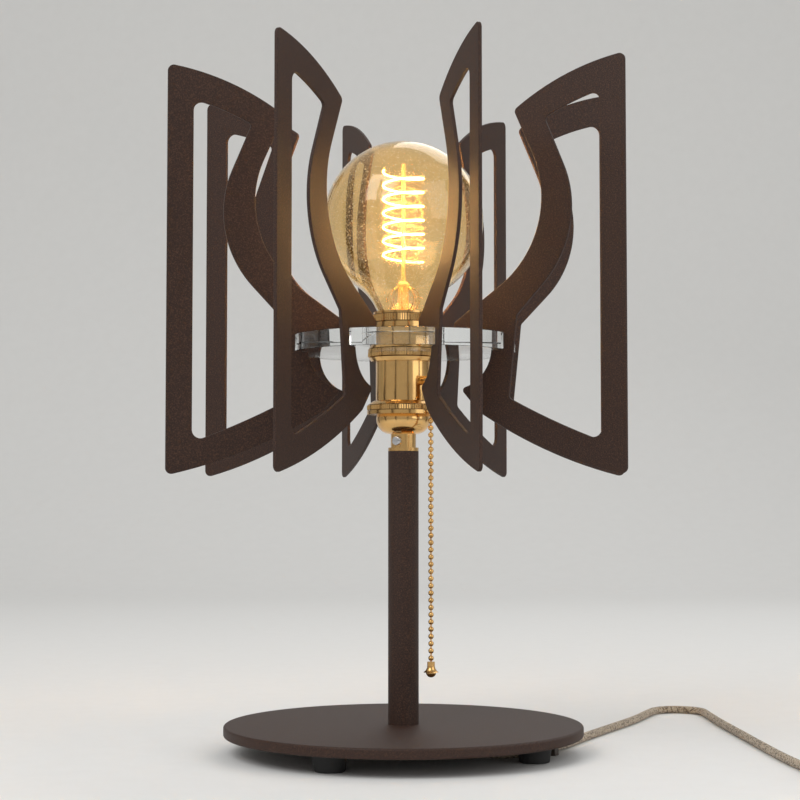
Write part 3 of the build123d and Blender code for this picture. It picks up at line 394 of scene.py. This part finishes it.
def lathe(name, outline, steps, body, material, carve=None, closed=True):
    """A piece turned round the lamp's axis from an outline of radius and height in metres.

    carve says how far a point of the outline moves inwards at a turn.
    """
    points = []
    for step in range(steps):
        turn = 2 * math.pi * step / steps
        for radius, height in outline:
            reach = radius
            if carve:
                reach -= carve(radius, height, turn)
            points.append((reach * math.cos(turn), reach * math.sin(turn), height))
    count = len(outline)
    faces = []
    for step in range(steps):
        here = step * count
        there = (step + 1) % steps * count
        for index in range(count if closed else count - 1):
            after = (index + 1) % count
            faces.append((here + index, there + index, there + after, here + after))
    return add_mesh(name, points, faces, body, material)


def seam_outline(name):
    """The outline of a turned node, in order, read where its mesh meets the plane of X and Z."""
    mesh = bmesh.new()
    mesh.from_mesh(nodes[name].data)
    bmesh.ops.remove_doubles(mesh, verts=mesh.verts, dist=SAME_POINT)
    left = {vertex for vertex in mesh.verts if abs(vertex.co.y) < SAME_POINT and vertex.co.x > 0}
    here = min(left, key=lambda vertex: (vertex.co.z, vertex.co.x))
    flat = True
    outline = []
    while here:
        outline.append((here.co.x, here.co.z))
        left.discard(here)
        joined = [edge.other_vert(here) for edge in here.link_edges]
        level = [vertex for vertex in left if abs(vertex.co.z - here.co.z) < SAME_POINT]
        upright = [vertex for vertex in joined if vertex in left and vertex not in level]
        first, second = (level, upright) if flat else (upright, level)
        choice = first or second
        flat = choice is upright
        here = min(choice, key=lambda vertex: (vertex.co - here.co).length, default=None)
    mesh.free()
    return outline


def divided(outline, spacing):
    """A turned outline with points close enough together to roll a thread into it."""
    finer = []
    for start, end in zip(outline, outline[1:] + outline[:1]):
        steps = max(1, round(math.dist(start, end) / spacing))
        for step in range(steps):
            share = step / steps
            finer.append((start[0] + (end[0] - start[0]) * share, start[1] + (end[1] - start[1]) * share))
    return finer


# Fins and clear disc with their cut edges eased
EDGE_ANGLE = math.radians(40)
FLAT_ANGLE = math.radians(0.5)
FACE_WEIGHT = 100
FIN_EDGE = 0.4 * MM
DISC_EDGE = 0.35 * MM
FIN_COUNT = 8


def eased(node, width, segments):
    """A piece with the shape of a node and its sharp edges rounded."""
    mesh = bmesh.new()
    mesh.from_mesh(nodes[node].data)
    bmesh.ops.remove_doubles(mesh, verts=mesh.verts, dist=SAME_POINT)
    bmesh.ops.dissolve_limit(mesh, angle_limit=FLAT_ANGLE, verts=mesh.verts, edges=mesh.edges)
    sharp = [edge for edge in mesh.edges if edge.calc_face_angle(0) > EDGE_ANGLE]
    bmesh.ops.bevel(mesh, geom=sharp, offset=width, segments=segments, profile=0.5, affect="EDGES",
                    clamp_overlap=True)
    data = bpy.data.meshes.new("eased_" + node)
    mesh.to_mesh(data)
    mesh.free()
    data.materials.append(nodes[node].data.materials[0])
    data.shade_smooth()
    piece = bpy.data.objects.new("eased_" + node, data)
    scene.collection.objects.link(piece)
    shading = piece.modifiers.new("shading", "WEIGHTED_NORMAL")
    shading.weight = FACE_WEIGHT
    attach(piece, "stand")
    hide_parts(node)


for number in range(1, FIN_COUNT + 1):
    eased("fin_%d" % number, FIN_EDGE, segments=3)
eased("clear_disc", DISC_EDGE, segments=1)

# Knurled rings on the socket, each with its outline from the CAD node
RING_GAP = 0.04 * MM
KNURL_DEPTH = 0.35 * MM
KNURL_STEPS = 4


def knurled(node, ridges, low_share, high_share):
    """A ring whose outer faces between two shares of its height carry straight ridges."""
    low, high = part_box(node)
    bottom = low[2] + (high[2] - low[2]) * low_share
    top = low[2] + (high[2] - low[2]) * high_share
    outline = [(radius, min(max(height, low[2] + RING_GAP), high[2] - RING_GAP))
               for radius, height in seam_outline(node)]
    rim = max(radius for radius, height in outline if bottom < height < top)

    def carve(radius, height, turn):
        if radius < rim - SAME_POINT or not bottom < height < top:
            return 0
        return KNURL_DEPTH * (0.5 - 0.5 * math.cos(ridges * turn))

    ring = lathe("knurled_" + node, outline, ridges * KNURL_STEPS, "stand", knurled_brass, carve)
    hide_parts(node)


knurled("collar", ridges=96, low_share=0.3, high_share=0.7)
knurled("lower_shade_ring", ridges=90, low_share=0.51, high_share=1.05)
knurled("upper_shade_ring", ridges=84, low_share=0.55, high_share=0.9)

# Screw threads of the bulb's cap and of the shell that takes it
THREAD_PITCH = 3.6 * MM
THREAD_ROW = 0.3 * MM
THREAD_STEPS = 96
CAP_THREAD_DEPTH = 0.8 * MM
SHELL_THREAD_DEPTH = 0.5 * MM
THREAD_LEAD = 1.2 * MM
CAP_CONE = 2.6 * MM


def threaded(node, body, depth, bottom, top):
    """A thin turned sheet with a rolled thread between two levels; a depth under zero rolls outwards."""

    def carve(radius, height, turn):
        fade = min(height - bottom, top - height) / THREAD_LEAD
        wave = 0.5 - 0.5 * math.cos(turn - 2 * math.pi * height / THREAD_PITCH)
        return depth * wave * min(max(fade, 0), 1)

    outline = divided(seam_outline(node), THREAD_ROW)
    sheet = lathe("threaded_" + node, outline, THREAD_STEPS, body, knurled_brass, carve)
    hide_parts(node)


glass_low, glass_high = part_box("bulb_glass")
cap_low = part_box("bulb_cap")[0]
shell_low, shell_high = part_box("screw_shell")
threaded("bulb_cap", "bulb", CAP_THREAD_DEPTH, cap_low[2] + CAP_CONE, glass_low[2])
threaded("screw_shell", "stand", -SHELL_THREAD_DEPTH,
         shell_low[2] + THREAD_LEAD, shell_high[2] - THREAD_LEAD)

# Bulb glass, a smooth thin globe drawn into its neck
GLASS_WALL = 0.8 * MM
GLOBE_END = math.radians(55)
NECK_RADIUS = 15 * MM
NECK_LEVEL = 10 * MM
ROOT_RADIUS = 12.3 * MM
ROOT_LENGTH = 6.2 * MM
GLOBE_STEPS = 40
NECK_STEPS = 14
GLASS_STEPS = 128


def glass_side(inset):
    """The glass's profile from its crown to its root, moved inwards by an inset."""
    globe_radius = glass_high[0]
    middle = glass_high[2] - globe_radius
    radius = globe_radius - inset
    side = []
    for step in range(GLOBE_STEPS + 1):
        turn = math.pi / 2 - (math.pi / 2 + GLOBE_END) * step / GLOBE_STEPS
        side.append((radius * math.cos(turn), middle + radius * math.sin(turn)))
    drawn_in = Vector(side[-1])
    neck = Vector((NECK_RADIUS - inset, glass_low[2] + NECK_LEVEL))
    outwards = Vector((math.cos(GLOBE_END), -math.sin(GLOBE_END)))
    reach = (neck - drawn_in).length_squared / (2 * (neck - drawn_in).dot(outwards))
    centre = drawn_in + outwards * reach
    first = math.atan2(*reversed(drawn_in - centre)) % (2 * math.pi)
    last = math.atan2(*reversed(neck - centre)) % (2 * math.pi)
    for step in range(1, NECK_STEPS + 1):
        turn = first + (last - first) * step / NECK_STEPS
        side.append((centre.x + reach * math.cos(turn), centre.y + reach * math.sin(turn)))
    side.append((ROOT_RADIUS - inset, glass_low[2] + ROOT_LENGTH))
    side.append((ROOT_RADIUS - inset, glass_low[2]))
    return side


glass_outline = glass_side(GLASS_WALL) + list(reversed(glass_side(0)))
globe = lathe("globe_glass", glass_outline, GLASS_STEPS, "bulb", glass, closed=False)
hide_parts("bulb_glass")
# The thin glass lets the filament's light out
globe.visible_shadow = False

# The cord in millimetres: its route on the table, then its coil, then the run into the plug
CORD_RADIUS = 2.5
CORD_SIDES = 16
CORD_SMOOTH_ANGLE = math.radians(60)
SPLINE_STEPS = 6
CLIP_LEVEL = 3.6
FLOOR_LEVEL = 2.55
COIL_LEVEL = 3.85
COIL_LAYER = 5.6
COIL_RADIUS = 40
COIL_PITCH = 6.6
COIL_HALF_TURNS = 6
COIL_STEPS = 8
TAIL_STEPS = (12, 24, 36)
CORD_ROUTE = [
    (85, -9, CLIP_LEVEL), (93.2, 4.7, CLIP_LEVEL), (101, 25, 2.6), (111.5, 50, FLOOR_LEVEL),
    (125.5, 79, FLOOR_LEVEL), (140, 108, FLOOR_LEVEL), (153, 135, FLOOR_LEVEL), (164, 163.5, FLOOR_LEVEL),
    (168.4, 174.2, FLOOR_LEVEL), (172.2, 183.5, FLOOR_LEVEL), (180.3, 189.5, FLOOR_LEVEL),
    (190.4, 190.4, FLOOR_LEVEL), (199.4, 185.9, FLOOR_LEVEL), (204.8, 177.4, FLOOR_LEVEL),
    (205, 167.3, FLOOR_LEVEL), (205.2, 157, FLOOR_LEVEL), (206, 115, FLOOR_LEVEL), (209, 60, FLOOR_LEVEL),
    (211.5, 5, FLOOR_LEVEL), (214.5, -45, FLOOR_LEVEL), (218, -76, 2.6), (220, -96, COIL_LEVEL),
    (220.5, -108, COIL_LEVEL),
]


def coil_route():
    """Half turns inwards on the lower layer, one that climbs, then outwards on the upper layer."""
    points = []
    centre_x = CORD_ROUTE[-1][0] + COIL_RADIUS
    centre_y = CORD_ROUTE[-1][1]
    # The smooth line runs inside its control points, so these stand out by this much
    swell = 1 / (0.75 + 0.25 * math.cos(math.pi / COIL_STEPS))
    last = COIL_HALF_TURNS * 2 + 1
    for half in range(last):
        side = 1 if half % 2 == 0 else -1
        near = COIL_RADIUS - min(half, last - half) * COIL_PITCH / 2
        far = COIL_RADIUS - min(half + 1, last - half - 1) * COIL_PITCH / 2
        middle = centre_x - side * (near - far) / 2
        radius = (near + far) / 2
        for step in range(1, COIL_STEPS + 1):
            share = step / COIL_STEPS
            turn = math.pi * share
            # Where two half turns meet, the point stands out half as much
            wide = swell if step < COIL_STEPS else (1 + swell) / 2
            climb = min(max(half - COIL_HALF_TURNS + share, 0), 1)
            points.append((middle - side * radius * math.cos(turn) * wide,
                           centre_y - side * radius * math.sin(turn) * swell,
                           COIL_LEVEL + COIL_LAYER * climb))
    end = points[-1]
    points[-1] = (centre_x + COIL_RADIUS, end[1], end[2])
    return points + [(centre_x + COIL_RADIUS, centre_y + step, end[2]) for step in TAIL_STEPS]


def spline_points(route):
    """Points along a smooth line that has the route as its control points."""
    data = bpy.data.curves.new("cord_line", "CURVE")
    data.dimensions = "3D"
    data.resolution_u = SPLINE_STEPS
    spline = data.splines.new("NURBS")
    spline.points.add(len(route) - 1)
    for point, place in zip(spline.points, route):
        point.co = (*view_point(*place), 1)
    spline.order_u = 3
    spline.use_endpoint_u = True
    line = bpy.data.objects.new("cord_line", data)
    scene.collection.objects.link(line)
    bpy.context.view_layer.update()
    mesh = bpy.data.meshes.new_from_object(line.evaluated_get(bpy.context.evaluated_depsgraph_get()))
    points = [vertex.co.copy() for vertex in mesh.vertices]
    bpy.data.objects.remove(line)
    bpy.data.meshes.remove(mesh)
    return points


def braided_tube(name, path):
    """A round cord along points, with coordinates round it as a share and along it in metres."""
    radius = CORD_RADIUS * MM
    sides = CORD_SIDES
    tangents = []
    for index in range(len(path)):
        before = path[max(index - 1, 0)]
        after = path[min(index + 1, len(path) - 1)]
        tangents.append((after - before).normalized())
    side = tangents[0].cross(Vector((0, 0, 1))).normalized()
    points = []
    travel = [0.0]
    for index, (place, tangent) in enumerate(zip(path, tangents)):
        side = (side - tangent * side.dot(tangent)).normalized()
        up = tangent.cross(side)
        if index:
            travel.append(travel[-1] + (place - path[index - 1]).length)
        for step in range(sides):
            turn = 2 * math.pi * step / sides
            points.append(place + (side * math.cos(turn) + up * math.sin(turn)) * radius)
    faces = []
    for ring in range(len(path) - 1):
        for step in range(sides):
            here = ring * sides + step
            there = ring * sides + (step + 1) % sides
            faces.append((here, there, there + sides, here + sides))
    first_cap = len(faces)
    faces.append(tuple(reversed(range(sides))))
    faces.append(tuple(range((len(path) - 1) * sides, len(path) * sides)))
    piece = add_mesh(name, points, faces, "stand", jacket, CORD_SMOOTH_ANGLE)
    layer = piece.data.uv_layers.new(name="UVMap")
    for polygon in piece.data.polygons:
        for corner, loop in enumerate(polygon.loop_indices):
            vertex = piece.data.loops[loop].vertex_index
            ring, step = divmod(vertex, sides)
            share = step / sides
            # The last side ends at a full round, not back at its start
            if polygon.index < first_cap and corner in (1, 2) and step == 0:
                share = 1.0
            layer.data[loop].uv = (share, travel[ring])
    return piece


cord_path = spline_points(CORD_ROUTE + coil_route())
cord = braided_tube("braided_cord", cord_path)
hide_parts("free_cord", "cord_coil")

# The same cord under the base, from the supply wires to the clip
LEAD_LEVEL = 2.6
LEAD_ROUTE = [
    (14, -3.5, LEAD_LEVEL), (36, -9, LEAD_LEVEL), (52, -28, LEAD_LEVEL),
    (70, -27.5, CLIP_LEVEL), (80.2, -17, CLIP_LEVEL), (85, -9, CLIP_LEVEL),
]
lead = braided_tube("braided_lead", spline_points(LEAD_ROUTE))
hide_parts("base_lead")

# Plug on the cord's end in millimetres: a ribbed strain relief and a flared body with finger ridges
RELIEF_LENGTH = 14
RELIEF_TIP = 3.4
RELIEF_ROOT = 5
RELIEF_RIBS = 5
RELIEF_RIB_DEPTH = 0.5
PLUG_LENGTH = 26
PLUG_REAR = Vector((7.5, 6.5))
PLUG_FRONT = Vector((12, 9.4))
PLUG_BEVEL = 0.8
GRIP_RIBS = 5
GRIP_DEPTH = 0.7
GRIP_SHARE = 0.7
RIB_STEPS = 6
PLUG_SIDES = 48
ROUND_POWER = 2
BODY_POWER = 6


def rib_wave(share, count):
    """How deep a row of ribs is at a share of its length, from 0 on a rib to 1 between two."""
    return 0.5 - 0.5 * math.cos(2 * math.pi * count * share)


def plug_stations():
    """Sections along the plug: distance, half width, half height and how square they are."""
    stations = []
    for step in range(RELIEF_RIBS * RIB_STEPS + 1):
        share = step / (RELIEF_RIBS * RIB_STEPS)
        radius = RELIEF_TIP + (RELIEF_ROOT - RELIEF_TIP) * share
        radius -= RELIEF_RIB_DEPTH * rib_wave(share, RELIEF_RIBS)
        stations.append((share * RELIEF_LENGTH, radius, radius, ROUND_POWER))
    bevel = Vector((PLUG_BEVEL, PLUG_BEVEL))
    stations.append((RELIEF_LENGTH, *(PLUG_REAR - bevel), BODY_POWER))
    steps = GRIP_RIBS * RIB_STEPS * 2
    for step in range(steps + 1):
        share = step / steps
        half = PLUG_REAR.lerp(PLUG_FRONT, share)
        grip = GRIP_DEPTH * rib_wave(min(share / GRIP_SHARE, 1), GRIP_RIBS)
        distance = RELIEF_LENGTH + PLUG_BEVEL + (PLUG_LENGTH - PLUG_BEVEL * 2) * share
        stations.append((distance, half.x - grip, half.y, BODY_POWER))
    stations.append((RELIEF_LENGTH + PLUG_LENGTH, *(PLUG_FRONT - bevel), BODY_POWER))
    return stations


def add_plug(start, along):
    """The plug's body from its sections, closed at both ends."""
    up = Vector((0, 0, 1))
    side = up.cross(along)
    points = []
    for distance, half_width, half_height, power in plug_stations():
        for step in range(PLUG_SIDES):
            turn = 2 * math.pi * step / PLUG_SIDES
            x = math.copysign(abs(math.cos(turn)) ** (2 / power), math.cos(turn)) * half_width
            y = math.copysign(abs(math.sin(turn)) ** (2 / power), math.sin(turn)) * half_height
            points.append(start + (along * distance + side * x + up * y) * MM)
    rings = len(points) // PLUG_SIDES
    last_ring = (rings - 1) * PLUG_SIDES
    faces = [tuple(reversed(range(PLUG_SIDES))), tuple(range(last_ring, len(points)))]
    for ring in range(rings - 1):
        for step in range(PLUG_SIDES):
            here = ring * PLUG_SIDES + step
            there = ring * PLUG_SIDES + (step + 1) % PLUG_SIDES
            faces.append((here, there, there + PLUG_SIDES, here + PLUG_SIDES))
    return add_mesh("ribbed_plug", points, faces, "stand", plug_plastic)


plug = add_plug(cord_path[-1], (cord_path[-1] - cord_path[-2]).normalized())
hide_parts("plug_body")


# Stage in millimetres: a pale floor that curves up into a backdrop, soft lamps and an even sky
FLOOR_REACH = 25000
BACKDROP_START = 1600
BACKDROP_BEND = 800
BACKDROP_TOP = 4000
BEND_STEPS = 12
SKY_COLOUR = (1.0, 0.99, 0.97, 1)
SKY_STRENGTH = 0.5
LAMP_AIM = (0, 0, 220)
STAGE_LAMPS = [
    {"name": "key_lamp", "place": (-900, -1100, 1500), "watts": 17, "size": 1200},
    {"name": "fill_lamp", "place": (1300, -700, 900), "watts": 8, "size": 1400},
    {"name": "rim_lamp", "place": (500, 1200, 1500), "watts": 6, "size": 1200},
]


def stage_paint():
    """Pale matt paint with a faint grain."""
    s = Shader("stage_paint")
    s.set(Roughness=0.8)
    grain = s.noise(s.place(), scale=60)
    s.colour(s.blend(grain, (0.80, 0.80, 0.79), (0.83, 0.83, 0.82)))
    return s.material


def add_floor():
    """The floor and the backdrop behind the lamp, in one sheet."""
    profile = [(-FLOOR_REACH, 0), (BACKDROP_START, 0)]
    for step in range(1, BEND_STEPS + 1):
        turn = math.pi / 2 * step / BEND_STEPS
        depth = BACKDROP_START + BACKDROP_BEND * math.sin(turn)
        profile.append((depth, BACKDROP_BEND * (1 - math.cos(turn))))
    profile.append((BACKDROP_START + BACKDROP_BEND, BACKDROP_TOP))
    points = []
    for depth, height in profile:
        for side in (-FLOOR_REACH, FLOOR_REACH):
            points.append(view_point(side, depth, height))
    faces = [(row * 2, row * 2 + 1, row * 2 + 3, row * 2 + 2) for row in range(len(profile) - 1)]
    mesh = bpy.data.meshes.new("floor")
    mesh.from_pydata(points, [], faces)
    mesh.materials.append(stage_paint())
    mesh.shade_smooth()
    floor = bpy.data.objects.new("floor", mesh)
    scene.collection.objects.link(floor)


def add_light():
    """The sky and the lamps, all aimed at the middle of the part."""
    world = bpy.data.worlds.new("sky")
    world.use_nodes = True
    scene.world = world
    sky = world.node_tree.nodes["Background"]
    sky.inputs["Color"].default_value = SKY_COLOUR
    sky.inputs["Strength"].default_value = SKY_STRENGTH
    for entry in STAGE_LAMPS:
        data = bpy.data.lights.new(entry["name"], "AREA")
        data.energy = entry["watts"]
        data.size = entry["size"] * MM
        lamp = bpy.data.objects.new(entry["name"], data)
        scene.collection.objects.link(lamp)
        lamp.location = view_point(*entry["place"])
        aim = view_point(*LAMP_AIM) - lamp.location
        lamp.rotation_euler = aim.to_track_quat("-Z", "Y").to_euler()


add_floor()
add_light()
scene.view_settings.view_transform = "Standard"
